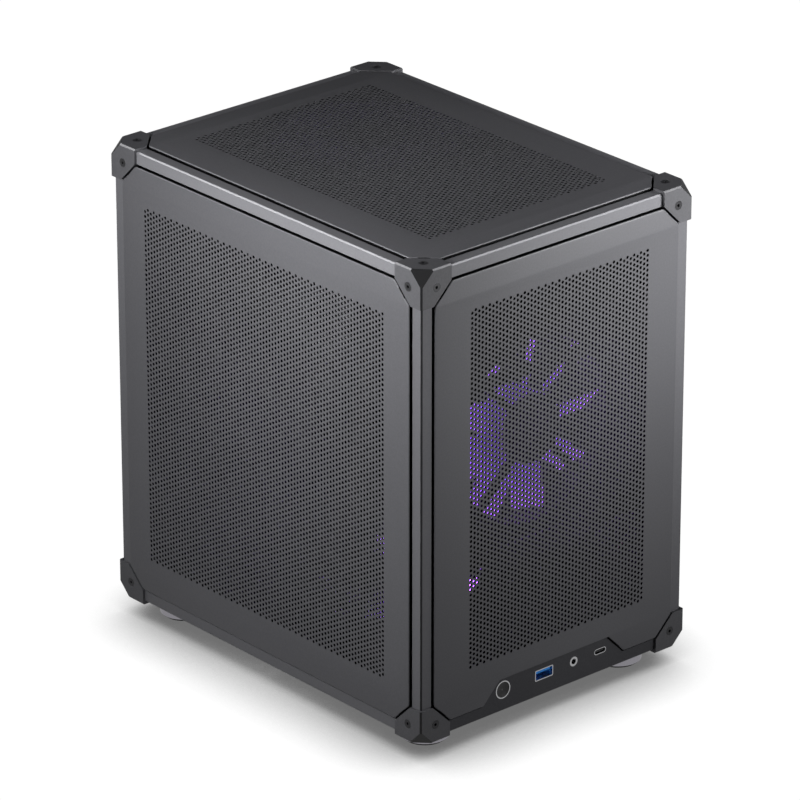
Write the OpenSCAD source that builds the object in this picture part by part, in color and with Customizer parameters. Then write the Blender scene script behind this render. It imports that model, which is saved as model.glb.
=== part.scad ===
// Compact tower case for a micro ATX board: an aluminium rail cage held by eight cast corner
// brackets, perforated pull-off panels, a steel inner structure, three fans and a front port strip.
// Millimetres. X is the width, the front faces -Y, Z is up and z = 0 is the floor under the feet.

/* [Frame] */
// Width over the side rails
frame_w = 204; // [202:1:240]
// Depth over the front and rear rails
frame_d = 270; // [268:1:310]
// Height over the top and bottom rails
frame_h = 289; // [286:1:330]

/* [Rails] */
// Visible width of a rail on each of its two outer faces
rail_face = 7.6; // [7.2:0.1:8.4]
// Depth from a rail's outer face to the ledge that a panel rests on
rail_step = 5.6; // [5.2:0.1:5.8]
// How far the ledge reaches in past the rail's face
ledge_reach = 8.4; // [8:0.1:9]
// Wall round the hollow of a rail
rail_wall = 1.6; // [1.2:0.1:2.2]
// Bevel along a rail's outer edge
rail_bevel = 0.8; // [0.3:0.1:1.4]

/* [Corner brackets] */
// How far brackets and panels stand proud of the rails
proud = 1.7; // [1:0.1:2.4]
// Reach of a bracket's arm along each rail
bracket_reach = 20.7; // [19:0.1:24]
// Where the cut-off corner meets the bracket's edges, from the rail planes
bracket_cut = 8; // [6:0.1:9]
// Bevel along a bracket's outer edges
bracket_bevel = 0.9; // [0.3:0.1:1.4]
// Screw position in from the two rail planes
screw_inset = 9.6; // [9.5:0.1:10.4]
// Radius of a bracket screw's shank
screw_r = 1.25; // [1:0.05:1.4]
// Radius of a bracket screw's countersunk head
screw_head_r = 2.7; // [2.2:0.1:3.2]

/* [Panels] */
// Thickness of the outer panels' sheet
panel_sheet = 1.5; // [1:0.1:1.8]
// Gap between a panel's edge and the rails and brackets round it
panel_gap = 1.1; // [0.8:0.1:1.3]
// Diameter of the panels' round holes
mesh_hole = 11; // [6:0.5:12]
// Distance between neighbouring holes, which lie in a sixty degree pattern
mesh_pitch = 16; // [15:0.5:24]
// Plain border of the side panels, from the rail planes
side_border = 30; // [30:0.5:45]
// Plain border of the front panel at its sides
front_border = 36; // [34:0.5:50]
// Plain border of the front panel at its lower edge
front_low_border = 37; // [34:0.5:60]
// Plain border of the top panel at its sides
top_border = 34; // [32:0.5:50]
// Plain border along the upper and lower edges
edge_border = 32; // [30:0.5:50]

/* [Snap studs] */
// Stud position in from the rail plane
stud_inset = 13.2; // [13:0.1:13.4]
// Stud position in from the ends of the rails
stud_from_end = 48; // [40:1:60]
// Radius of a stud's ball
stud_ball_r = 1.4; // [1.2:0.05:1.5]
// Radius of a stud's neck
stud_neck_r = 1; // [0.8:0.05:1.1]
// Outer radius of a snap socket's barrel
socket_r = 2.1; // [2:0.05:2.3]

/* [Steel sheets] */
// Thickness of the rear and bottom sheets
plate_t = 1.2; // [0.8:0.1:1.6]
// Thickness of the folded inner brackets
fold_t = 1.2; // [0.8:0.1:1.4]
// Radius of the screws that hold the sheets
sheet_screw_r = 1.5; // [1.2:0.05:1.7]

/* [Feet] */
// Radius of a foot
foot_r = 14.5; // [12:0.1:15]
// Foot centre in from the rail planes
foot_inset = 25.8; // [25.4:0.1:32]
// Height of the rails above the floor
foot_drop = 13.3; // [8:0.1:20]
// Thickness of a foot's rubber pad
pad_t = 2; // [1:0.1:3]

/* [Front ports] */
// Height of the raised port strip's upper edge over the rails' lower plane
strip_top = 21.3; // [20.9:0.1:24]
// Half width of the port strip at its upper edge
strip_half = 42.8; // [42:0.1:50]
// Thickness of the port strip's wall
strip_wall = 2.4; // [1.8:0.1:2.8]
// Gap between the port strip and the front panel
strip_gap = 0.6; // [0.4:0.1:1]
// Height of the port centres over the rails' lower plane
port_z = 13.7; // [13.6:0.1:14]
// Power button centre, from the middle of the case
button_x = -39; // [-40:0.5:-30]
// Radius of the button's bright ring
ring_r = 5.6; // [5:0.1:5.8]
// Wall of the button's ring
ring_wall = 0.7; // [0.5:0.05:1]
// Travel of the power button
button_travel = 1.2; // [0.8:0.1:1.6]
// Type A socket centre, from the middle of the case
usb_a_x = -6.8; // [-10:0.1:-2]
// Outer width of the type A socket's shell
usb_a_w = 14.2; // [13.6:0.1:14.6]
// Outer height of the type A socket's shell
usb_a_h = 6.9; // [6.2:0.1:7.1]
// Headphone socket centre, from the middle of the case
jack_x = 16.5; // [12:0.1:22]
// Bore radius of the headphone socket
jack_bore_r = 1.75; // [1.7:0.01:1.8]
// Radius of the headphone socket's ring
jack_ring_r = 3; // [2.6:0.1:3.2]
// Type C socket centre, from the middle of the case
usb_c_x = 37.6; // [32:0.1:38]
// Outer width of the type C socket's shell
usb_c_w = 9.4; // [9:0.1:9.8]
// Outer height of the type C socket's shell
usb_c_h = 3.6; // [3.3:0.1:3.8]

/* [Board and rear openings] */
// Board's upper edge below the rails' upper plane
board_drop = 20; // [17:0.5:24]
// Height of a board standoff
standoff_h = 6.5; // [5:0.5:8]
// Radius of a board standoff
standoff_r = 3; // [2.6:0.1:3.2]
// Radius of a standoff's tapped hole
standoff_hole_r = 1.4; // [1.2:0.05:1.6]
// Middle of the power supply opening, from the middle of the case
psu_x = -50; // [-51:0.5:-47]
// Middle of the power supply opening over the rails' lower plane
psu_z = 192; // [190:1:200]

/* [Fans] */
// Side of the front and top fans
fan_size = 120; // [119:1:122]
// Side of the bottom fan
low_fan_size = 140; // [130:1:142]
// Depth of every fan
fan_depth = 25; // [22:1:27]
// Radius of a fan's hub
hub_r = 21; // [18:0.5:24]
// Blades on each fan
blades = 9; // [5:1:11]
// Radius of the holes in a fan's corners
fan_hole_r = 2.15; // [2:0.05:2.4]
// Front fan centre over the rails' lower plane
front_fan_z = 160; // [150:1:170]
// Front fan's face, behind the front rails' outer plane
front_fan_y = 19; // [17:0.5:19.2]
// Top fan centre to the right of the middle
top_fan_x = 11.5; // [0:0.5:14]
// Top fan centre behind the middle
top_fan_y = 36; // [20:0.5:44]
// Bottom fan centre to the right of the middle
low_fan_x = -14; // [-15:0.5:8]
// Bottom fan centre behind the middle
low_fan_y = 12; // [-4:0.5:20]

/* [Hidden] */
$fn = 48;

// Clearance of pieces that fit together, and what a cut runs past a face
fit = 0.1;
slack = 0.3;
over = 1;

// Heights of the rail cage
low_z = foot_drop;
top_z = foot_drop + frame_h;

// Where the ledges end, measured in from a rail plane
ledge_end = rail_face + ledge_reach;
rail_start = rail_face + fit;
late_start = ledge_end + fit;
stud_spots_z = [stud_from_end, frame_h - stud_from_end];
stud_spots_y = [stud_from_end, frame_d - stud_from_end];
socket_bore_r = stud_ball_r + 0.15;
socket_depth = rail_face + 3;
socket_head_r = socket_r + 0.6;
socket_head_t = 0.6;
socket_clear_r = socket_r + 0.5;

// Colours
graphite = [0.25, 0.25, 0.27];
rail_grey = [0.38, 0.38, 0.40];
sheet_black = [0.12, 0.12, 0.13];
bright = [0.80, 0.80, 0.82];
plastic_black = [0.05, 0.05, 0.06];
lit_violet = [0.45, 0.25, 0.95];

// Places a child that is drawn inwards from a corner, along +X, +Y and +Z, at one of the corners
module flip(axis, on) {
    if (on) mirror(axis) children();
    else children();
}
module at_corner(sx, sy, sz) {
    translate([sx * frame_w / 2, sy * frame_d / 2, sz > 0 ? top_z : low_z])
        flip([1, 0, 0], sx > 0) flip([0, 1, 0], sy > 0) flip([0, 0, 1], sz > 0) children();
}

// Turns X to Y, Y to Z and Z to X, k times
module turn(k) {
    if (k == 0) children();
    else if (k == 1) rotate([90, 0, 90]) children();
    else rotate([90, 0, 90]) rotate([90, 0, 90]) children();
}

// Stands a shape drawn in X and Z upright, from y0 to y0 + t
module upright(y0, t) {
    translate([0, y0 + t, 0]) rotate([90, 0, 0]) linear_extrude(t) children();
}

// Rail: a hollow square nose and two ledges in line with its inner walls.
// It runs along Z from a corner, with ledge a facing X and ledge b facing Y.
module rail_nose(len) {
    hollow = rail_face - 2 * rail_wall;
    translate([0, 0, rail_start]) linear_extrude(len - 2 * rail_start) difference() {
        polygon([[rail_bevel, 0], [rail_face, 0], [rail_face, rail_face],
                 [0, rail_face], [0, rail_bevel]]);
        translate([rail_wall, rail_wall]) square(hollow);
    }
}
module ledge(len, start, spots, hole_r) {
    difference() {
        translate([rail_step, rail_face, start])
            cube([rail_face - rail_step, ledge_reach, len - 2 * start]);
        for (s = spots) translate([rail_step - over, stud_inset, s])
            rotate([0, 90, 0]) cylinder(r = hole_r, h = rail_face - rail_step + 2 * over);
        for (s = [screw_inset, len - screw_inset]) translate([rail_step - over, screw_inset, s])
            rotate([0, 90, 0]) cylinder(r = screw_r + 0.05, h = rail_face - rail_step + 2 * over);
    }
}
module swap_xy() {
    mirror([1, -1, 0]) children();
}
module rail(len, start_a, start_b, spots_a, spots_b, hole_a, hole_b) {
    color(rail_grey) union() {
        rail_nose(len);
        ledge(len, start_a, spots_a, hole_a);
        swap_xy() ledge(len, start_b, spots_b, hole_b);
    }
}
socket_hole_r = socket_r + 0.05;
tapped_r = sheet_screw_r + 0.05;
module post(sx, sy) {
    at_corner(sx, sy, -1) rail(frame_h, rail_start, rail_start, stud_spots_z, stud_spots_z,
        socket_hole_r, sy < 0 ? socket_hole_r : tapped_r);
}
module depth_rail(sx, sz) {
    at_corner(sx, -1, sz) turn(2) rail(frame_d, rail_start, late_start, stud_spots_y, [],
        sz > 0 ? socket_hole_r : tapped_r, 0);
}
module width_rail(sy, sz) {
    at_corner(-1, sy, sz) turn(1) rail(frame_w, late_start, late_start, [], [], 0, 0);
}

// Outline of the port strip, grown by g, down to the height z
function strip_points(g, z) = let (
    top = strip_top + g,
    half = strip_half + g * tan(22.5)
) [[-half - (top - z), z], [half + (top - z), z], [half, top], [-half, top]];

// Front bottom rail, which rises in the middle into the strip that holds the ports
module front_port_rail() {
    y_front = -frame_d / 2;
    color(rail_grey) difference() {
        union() {
            width_rail(-1, -1);
            translate([0, 0, low_z]) upright(y_front, strip_wall)
                polygon(strip_points(-strip_gap, rail_face - over));
        }
        // The ledge makes way for the sockets behind the strip
        ledge_gap = strip_half + strip_top - rail_face + panel_sheet + slack;
        translate([-ledge_gap, y_front + strip_wall, low_z + rail_face])
            cube([2 * ledge_gap, rail_face, ledge_end]);
        translate([0, 0, low_z]) {
            port_hole(button_x) circle(r = ring_r + 0.05);
            port_hole(usb_a_x) rounded_box(usb_a_w + 2 * fit, usb_a_h + 2 * fit, 1);
            port_hole(jack_x) circle(r = jack_ring_r + 0.05);
            port_hole(usb_c_x) round_ended(usb_c_w + 2 * fit, usb_c_h + 2 * fit);
        }
    }
}
module port_hole(x) {
    upright(-frame_d / 2 - over, strip_wall + 2 * over) translate([x, port_z]) children();
}
module rounded_box(w, h, r) {
    square([w - 2 * r, h], center = true);
    square([w, h - 2 * r], center = true);
    for (x = [-1, 1], y = [-1, 1]) translate([x * (w / 2 - r), y * (h / 2 - r)]) circle(r = r);
}
module round_ended(w, h) {
    square([w - h, h], center = true);
    for (x = [-1, 1]) translate([x * (w - h) / 2, 0]) circle(r = h / 2);
}

// Corner bracket: three plates over the rails' ends with a solid core between them
module bracket_plate() {
    linear_extrude(proud + rail_step) polygon([
        [-proud, -proud], [bracket_reach, -proud], [bracket_reach, rail_face],
        [rail_face, bracket_reach], [-proud, bracket_reach]
    ]);
}
module bracket_edge_cut() {
    low = -proud - over;
    high = bracket_bevel - proud + over;
    translate([0, 0, low]) linear_extrude(bracket_reach + proud + 3 * over)
        polygon([[low, low], [high, low], [low, high]]);
}
module bracket_vertex_cut() {
    far = 60;
    reach = (bracket_cut - 2 * proud) / sqrt(3);
    rotate([0, acos(1 / sqrt(3)), 45]) translate([-far / 2, -far / 2, reach - far])
        cube([far, far, far]);
}
module bracket_screw_hole() {
    translate([screw_inset, screw_inset, -proud - over])
        cylinder(r = screw_r + fit, h = proud + rail_step + 2 * over);
    translate([screw_inset, screw_inset, -proud - 0.01])
        cylinder(r1 = screw_head_r + fit, r2 = screw_r + fit, h = screw_head_r - screw_r);
}
module bracket(sx, sy, sz) {
    color(rail_grey) at_corner(sx, sy, sz) difference() {
        union() {
            for (k = [0:2]) turn(k) translate([0, 0, -proud]) bracket_plate();
            translate([-proud, -proud, -proud]) cube(rail_face + proud);
        }
        for (k = [0:2]) turn(k) {
            translate([0, 0, rail_face]) cube([rail_start, rail_start, bracket_reach]);
            bracket_edge_cut();
            bracket_screw_hole();
        }
        bracket_vertex_cut();
    }
}

// Countersunk socket screw that ties a bracket to the ledge below it, drawn from the head down
module corner_screw() {
    head_h = screw_head_r - screw_r;
    len = proud + rail_face + slack;
    difference() {
        union() {
            cylinder(r1 = screw_head_r, r2 = screw_r, h = head_h);
            cylinder(r = screw_r, h = len);
        }
        translate([0, 0, -over]) cylinder(r = screw_r * 0.8, h = head_h + over, $fn = 6);
    }
}
module corner_screws() {
    color(sheet_black) for (sx = [-1, 1], sy = [-1, 1], sz = [-1, 1], k = [0:2])
        at_corner(sx, sy, sz) turn(k) translate([screw_inset, screw_inset, -proud]) corner_screw();
}

// Outline of a panel or sheet that lies inside the rails and clear of the brackets,
// drawn about its middle and drawn in by i
module panel_outline(w, h, i) {
    edge = rail_face + panel_gap + i;
    leg = rail_face + bracket_reach + (panel_gap + i) * sqrt(2) - 2 * edge;
    cut_corner_box(w / 2 - edge, h / 2 - edge, leg);
}
module cut_corner_box(x, y, leg) {
    polygon([
        [-x + leg, -y], [x - leg, -y], [x, -y + leg], [x, y - leg],
        [x - leg, y], [-x + leg, y], [-x, y - leg], [-x, -y + leg]
    ]);
}

// Round holes in columns, every second column half a step up, over a w by h field
module mesh_holes(w, h) {
    step = mesh_pitch * sqrt(3) / 2;
    columns = floor((w - mesh_hole) / step);
    rows = floor((h - mesh_hole) / mesh_pitch);
    for (c = [0:columns]) {
        odd = c % 2;
        for (r = [0:rows - odd])
            translate([(c - columns / 2) * step, (r - rows / 2 + odd / 2) * mesh_pitch])
                circle(d = mesh_hole, $fn = 24);
    }
}

// Pull-off panel: a shallow pan whose edges rest on the ledges, with four ball studs.
// Drawn with its outer face up, z = 0 in the rail plane, about its middle.
panel_floor = -rail_step + fit;
module snap_stud(long_way) {
    neck = socket_depth - stud_ball_r - fit;
    translate([0, 0, -neck]) cylinder(r = stud_neck_r, h = neck + proud - panel_sheet / 2);
    translate([0, 0, -neck]) sphere(r = stud_ball_r);
}
module panel_pan(w, h, studs) {
    difference() {
        translate([0, 0, panel_floor]) linear_extrude(proud - panel_floor)
            difference() { panel_outline(w, h, 0); children(0); }
        translate([0, 0, panel_floor - over])
            linear_extrude(proud - panel_floor - panel_sheet + over)
            difference() { panel_outline(w, h, panel_sheet); children(1); }
        translate([0, 0, panel_floor]) linear_extrude(proud - panel_floor + over) children(2);
    }
    for (s = studs) translate([s[0], s[1], 0]) snap_stud();
}
module nowhere() {
    translate([frame_w + frame_d, 0]) square(1);
}

// Side panels, drawn with the depth across and the height up
module side_panel() {
    x = frame_d / 2 - stud_inset;
    studs = [for (a = [-x, x], z = stud_spots_z) [a, z - frame_h / 2]];
    color(graphite) panel_pan(frame_d, frame_h, studs) {
        nowhere();
        nowhere();
        mesh_holes(frame_d - 2 * side_border, frame_h - 2 * edge_border);
    }
}
module left_panel() {
    translate([-frame_w / 2, 0, low_z + frame_h / 2]) rotate([90, 0, -90]) side_panel();
}
module right_panel() {
    translate([frame_w / 2, 0, low_z + frame_h / 2]) rotate([90, 0, 90]) side_panel();
}
// Front panel, with a notch in its lower edge for the port strip
module front_panel() {
    x = frame_w / 2 - stud_inset;
    studs = [for (a = [-x, x], z = stud_spots_z) [a, z - frame_h / 2]];
    field_h = frame_h - edge_border - front_low_border;
    color(graphite) translate([0, -frame_d / 2, low_z + frame_h / 2]) rotate([90, 0, 0])
        panel_pan(frame_w, frame_h, studs) {
            translate([0, -frame_h / 2]) polygon(strip_points(0, 0));
            translate([0, -frame_h / 2]) polygon(strip_points(panel_sheet, 0));
            translate([0, (front_low_border - edge_border) / 2])
                mesh_holes(frame_w - 2 * front_border, field_h);
        }
}
module top_panel() {
    x = frame_w / 2 - stud_inset;
    studs = [for (a = [-x, x], y = stud_spots_y) [a, y - frame_d / 2]];
    color(graphite) translate([0, 0, top_z]) panel_pan(frame_w, frame_d, studs) {
        nowhere();
        nowhere();
        mesh_holes(frame_w - 2 * top_border, frame_d - 2 * edge_border);
    }
}

// Snap socket in a ledge's hole, drawn from its head down the Z axis
module snap_socket() {
    difference() {
        union() {
            translate([0, 0, rail_step - socket_head_t])
                cylinder(r = socket_head_r, h = socket_head_t);
            translate([0, 0, rail_step]) cylinder(r = socket_r, h = socket_depth - rail_step);
        }
        translate([0, 0, rail_step - over])
            cylinder(r = socket_bore_r, h = socket_depth - rail_step + 2 * over);
    }
}
module snap_sockets() {
    color(plastic_black) {
        for (sx = [-1, 1], sy = [-1, 1], z = stud_spots_z)
            at_corner(sx, sy, -1) translate([0, stud_inset, z]) rotate([0, 90, 0]) snap_socket();
        for (sx = [-1, 1], z = stud_spots_z)
            at_corner(sx, -1, -1) translate([stud_inset, 0, z]) rotate([-90, 0, 0]) snap_socket();
        for (sx = [-1, 1], y = stud_spots_y)
            at_corner(sx, -1, 1) translate([stud_inset, y, 0]) snap_socket();
    }
}

// Board datum: hole columns measured from the rear wall, rows from the board's upper edge
rear_wall_y = frame_d / 2 - rail_step;
board_top = frame_h - board_drop;
board_columns = [rear_wall_y - 12.27, rear_wall_y - 167.21, rear_wall_y - 239.6];
board_rows = [board_top - 6.35, board_top - 163.83, board_top - 209.55];
tray_x = frame_w / 2 - ledge_end - over - fold_t;
board_x = tray_x - standoff_h;

// Rear openings
io_top = board_top - 4.5;
io_size = [44.45, 158.75];
io_right = board_x + 1.9;
slot_pitch = 20.32;
slot_first = board_top - 173.5;
slot_window = [104, 13];
slot_cover = [118, 18.6];
slot_mid_x = io_right - 56.2;
slot_screw_x = slot_mid_x - slot_window[0] / 2 - 3.6;
psu_face = [63.5, 125];
psu_holes = [51.5, 113];
psu_screw_r = 1.9;
module psu_opening() {
    square([psu_face[0] - 6, psu_holes[1] - 14], center = true);
    square([psu_holes[0] - 14, psu_face[1] - 6], center = true);
}
module rear_vent() {
    left = psu_x + psu_face[0] / 2;
    right = io_right - io_size[0];
    pitch = 9;
    count = floor((right - left) / pitch) - 1;
    slot = [4, 34];
    for (c = [0:count - 1], r = [-1, 0, 1])
        translate([(left + right) / 2 + (c - (count - 1) / 2) * pitch, psu_z + r * 42])
            rotate(90) round_ended(slot[1], slot[0]);
}

// Rear sheet with the port opening, slot windows, power supply opening and vent,
// drawn as seen from the front, in X and the height over the lower rails
module rear_sheet() {
    color(sheet_black) translate([0, 0, low_z]) upright(rear_wall_y, plate_t) difference() {
        translate([0, frame_h / 2]) panel_outline(frame_w, frame_h, 0);
        translate([io_right - io_size[0], io_top - io_size[1]]) square(io_size);
        for (k = [0:3]) translate([slot_mid_x, slot_first - k * slot_pitch]) {
            square(slot_window, center = true);
            translate([slot_screw_x - slot_mid_x, 0]) circle(r = sheet_screw_r + fit);
        }
        translate([psu_x, psu_z]) {
            psu_opening();
            for (x = [-1, 1], z = [-1, 1])
                translate([x * psu_holes[0] / 2, z * psu_holes[1] / 2]) circle(r = psu_screw_r);
        }
        rear_vent();
        for (x = [-1, 1], z = stud_spots_z)
            translate([x * (frame_w / 2 - stud_inset), z]) circle(r = sheet_screw_r + fit);
    }
}

// Bottom sheet under the ledges, with holes below the fan and two raised port board posts
board_post_x = 40;
board_post_y = 24;
port_board_z = port_z - usb_a_h / 2;
port_board_t = 1.6;
module bottom_sheet() {
    floor_z = low_z + rail_step;
    color(sheet_black) {
        translate([0, 0, floor_z - plate_t]) linear_extrude(plate_t) difference() {
            panel_outline(frame_w, frame_d, 0);
            translate([low_fan_x, low_fan_y]) {
                intersection() {
                    circle(r = low_fan_size / 2 - 4);
                    mesh_holes(low_fan_size, low_fan_size);
                }
                fan_corners(low_fan_size) circle(r = fan_hole_r);
            }
            for (x = [-1, 1], y = stud_spots_y)
                translate([x * (frame_w / 2 - stud_inset), y - frame_d / 2])
                    circle(r = sheet_screw_r + fit);
        }
        for (x = [-1, 1]) translate([x * board_post_x, board_post_y - frame_d / 2, floor_z])
            cylinder(r = 2.5, h = port_board_z - port_board_t - rail_step);
    }
}

// Pan head screw through a sheet into the ledge, drawn from its head down the Z axis
module sheet_screw(len) {
    head_h = 1.6;
    difference() {
        union() {
            translate([0, 0, -head_h]) cylinder(r = sheet_screw_r * 1.8, h = head_h);
            cylinder(r = sheet_screw_r, h = len);
        }
        translate([0, 0, -head_h - over]) cylinder(r = sheet_screw_r * 0.7, h = head_h + over,
            $fn = 6);
    }
}
cover_t = 0.9;
module sheet_screws() {
    screw_len = plate_t + rail_face - rail_step + 2 * fit;
    color(sheet_black) {
        for (sx = [-1, 1], z = stud_spots_z)
            at_corner(sx, 1, -1) translate([stud_inset, rail_step - plate_t, z])
                rotate([-90, 0, 0]) sheet_screw(screw_len);
        for (sx = [-1, 1], y = stud_spots_y)
            at_corner(sx, -1, -1) translate([stud_inset, y, rail_step - plate_t])
                sheet_screw(screw_len);
        for (k = [0:3])
            translate([slot_screw_x, rear_wall_y + plate_t, low_z + slot_first - k * slot_pitch])
                rotate([90, 0, 0]) sheet_screw(plate_t + cover_t + over);
    }
}

// Expansion slot cover: a stamped strip inside the rear sheet with a pressed stiffening step
module slot_cover(k) {
    z = low_z + slot_first - k * slot_pitch;
    step = [slot_window[0] - 2, slot_window[1] - 2];
    color(sheet_black) translate([0, 0, z]) difference() {
        union() {
            upright(rear_wall_y - cover_t, cover_t) translate([slot_mid_x - 3, 0])
                square([slot_cover[0], slot_cover[1]], center = true);
            upright(rear_wall_y - fit, cover_t) translate([slot_mid_x, 0]) square(step, center = true);
        }
        upright(rear_wall_y - cover_t - over, over + cover_t / 2) translate([slot_mid_x, 0])
            square([step[0] - 2 * cover_t, step[1] - 2 * cover_t], center = true);
        upright(rear_wall_y - cover_t - over, cover_t + 2 * over) translate([slot_screw_x, 0])
            circle(r = sheet_screw_r + 0.05);
    }
}

// Foot: a turned cup with a rounded lower edge, and the rubber pad pressed into it
module foot(sx, sy) {
    height = low_z + rail_step - plate_t;
    wall = 2;
    round_r = 1.2;
    color(bright) translate([sx * (frame_w / 2 - foot_inset), sy * (frame_d / 2 - foot_inset), 0])
        rotate_extrude($fn = 72) difference() {
            union() {
                translate([0, pad_t / 2]) square([foot_r - round_r, height - pad_t / 2]);
                translate([0, pad_t / 2 + round_r]) square([foot_r, height - pad_t / 2 - round_r]);
                translate([foot_r - round_r, pad_t / 2 + round_r]) circle(r = round_r);
            }
            translate([-over, -over]) square([foot_r - wall + over, pad_t + over]);
            translate([wall * 2, pad_t]) square([foot_r - 3 * wall, height - pad_t - wall]);
            translate([-foot_r, 0]) square([foot_r, height]);
        }
}
module foot_pads() {
    color(plastic_black) for (sx = [-1, 1], sy = [-1, 1])
        translate([sx * (frame_w / 2 - foot_inset), sy * (frame_d / 2 - foot_inset), 0])
            cylinder(r = foot_r - 2 - fit / 2, h = pad_t, $fn = 72);
}

// Power button in its bright ring, and the switch behind it
ring_depth = strip_wall + over;
button_flange = 1;
button_stem = 5;
button_back = ring_depth + slack + button_flange + button_stem;
module at_port(x) {
    translate([x, -frame_d / 2, low_z + port_z]) rotate([-90, 0, 0]) children();
}
module power_ring() {
    color(bright) at_port(button_x) difference() {
        union() {
            translate([0, 0, -0.2]) cylinder(r = ring_r, h = ring_depth + 0.2);
            translate([0, 0, strip_wall]) cylinder(r = ring_r + 0.5, h = ring_depth - strip_wall);
        }
        translate([0, 0, -over]) cylinder(r = ring_r - ring_wall, h = ring_depth + 2 * over);
    }
}
module power_button() {
    cap_r = ring_r - ring_wall - 0.2;
    dish_r = 22;
    color(plastic_black) at_port(button_x) difference() {
        union() {
            cylinder(r = cap_r, h = ring_depth + slack + button_flange);
            translate([0, 0, ring_depth + slack]) cylinder(r = ring_r - 0.3, h = button_flange);
            cylinder(r = 1.6, h = button_back);
        }
        translate([0, 0, 0.6 - dish_r]) sphere(r = dish_r, $fn = 96);
    }
}
module power_switch() {
    depth = 3.5;
    side = 6;
    color(plastic_black)
        translate([button_x - side / 2, -frame_d / 2 + button_back + button_travel + slack,
            low_z + port_board_z])
            cube([side, depth, port_z - port_board_z + side / 2]);
}

// Type A socket: a rolled metal shell round a moulded block with its contact tongue
usb_a_wall = 0.6;
usb_a_len = 14;
module usb_a_shell() {
    color(bright) at_port(usb_a_x) translate([0, 0, -0.1]) linear_extrude(usb_a_len) difference() {
        rounded_box(usb_a_w, usb_a_h, 0.9);
        rounded_box(usb_a_w - 2 * usb_a_wall, usb_a_h - 2 * usb_a_wall, 0.4);
    }
}
module usb_a_tongue() {
    inner = [usb_a_w - 2 * usb_a_wall - 2 * fit, usb_a_h - 2 * usb_a_wall - 2 * fit];
    tongue = [11.2, 1.9];
    lift = 0.55;
    color([0.1, 0.35, 0.7]) at_port(usb_a_x) {
        translate([-inner[0] / 2, -inner[1] / 2, usb_a_len - 3]) cube([inner[0], inner[1], 2.8]);
        translate([-tongue[0] / 2, -lift - tongue[1], 1.2])
            cube([tongue[0], tongue[1], usb_a_len - 3]);
    }
}

// Headphone socket: a ringed barrel on a moulded block
jack_depth = 13;
module headphone_socket() {
    side = 2 * jack_ring_r;
    color(bright) at_port(jack_x) difference() {
        union() {
            translate([0, 0, -0.2]) cylinder(r = jack_ring_r, h = strip_wall + 0.4);
            translate([-side / 2, -side / 2, strip_wall])
                cube([side, port_z - port_board_z + side / 2, jack_depth + over - strip_wall]);
        }
        translate([0, 0, -over]) cylinder(r = jack_bore_r, h = jack_depth + over);
    }
}

// Type C socket: a drawn shell on a moulded base that carries the thin tongue
usb_c_wall = 0.45;
usb_c_len = 9;
module usb_c_shell() {
    color(bright) at_port(usb_c_x) translate([0, 0, -0.1]) linear_extrude(usb_c_len) difference() {
        round_ended(usb_c_w, usb_c_h);
        round_ended(usb_c_w - 2 * usb_c_wall, usb_c_h - 2 * usb_c_wall);
    }
}
module usb_c_tongue() {
    tongue = [6.6, 0.7];
    inner_w = usb_c_w - 2 * usb_c_wall - 2 * fit;
    inner_h = usb_c_h - 2 * usb_c_wall - 2 * fit;
    base_top = usb_c_h / 2 + 0.05;
    color(plastic_black) at_port(usb_c_x) {
        translate([-tongue[0] / 2, -tongue[1] / 2, 0.6]) cube([tongue[0], tongue[1], usb_c_len]);
        translate([0, 0, usb_c_len - 2.4]) linear_extrude(3.4) round_ended(inner_w, inner_h);
        translate([-usb_c_w / 2, -inner_h / 2, usb_c_len]) cube([usb_c_w, inner_h, 1]);
        translate([-usb_c_w / 2, base_top, strip_wall + slack])
            cube([usb_c_w, port_z - port_board_z - base_top, usb_c_len + 1 - strip_wall - slack]);
        translate([-usb_c_w / 2, 0, usb_c_len])
            cube([usb_c_w, port_z - port_board_z, 1]);
    }
}
module port_board() {
    half = strip_half + 4;
    notch = ring_r + over;
    notch_end = ring_depth + 2 * slack + button_flange + button_travel;
    color([0.08, 0.2, 0.12]) translate([0, -frame_d / 2, low_z + port_board_z - port_board_t])
        difference() {
            translate([-half, strip_wall + slack, 0]) cube([2 * half, 28, port_board_t]);
            // Room for the ring and the button, which reach below the board's face
            translate([button_x - notch, 0, -over])
                cube([2 * notch, notch_end, port_board_t + 2 * over]);
        }
}

// Folded tray: a plate with returned edges, so it is a shallow box open inside the return.
// Drawn about its outline with the return at z = 0 and the plate at z = depth.
module folded(depth, lip) {
    difference() {
        linear_extrude(depth) children(0);
        translate([0, 0, fold_t]) linear_extrude(depth - 2 * fold_t) children(1);
        translate([0, 0, -over]) linear_extrude(fold_t + 2 * over) children(2);
    }
}
module side_outline(x0, x1, y0, y1, i, leg) {
    polygon([
        [x0 + i + leg, y0 + i], [x1 - i - leg, y0 + i], [x1 - i, y0 + i + leg],
        [x1 - i, y1 - i - leg], [x1 - i - leg, y1 - i], [x0 + i + leg, y1 - i],
        [x0 + i, y1 - i - leg], [x0 + i, y0 + i + leg]
    ]);
}

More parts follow.
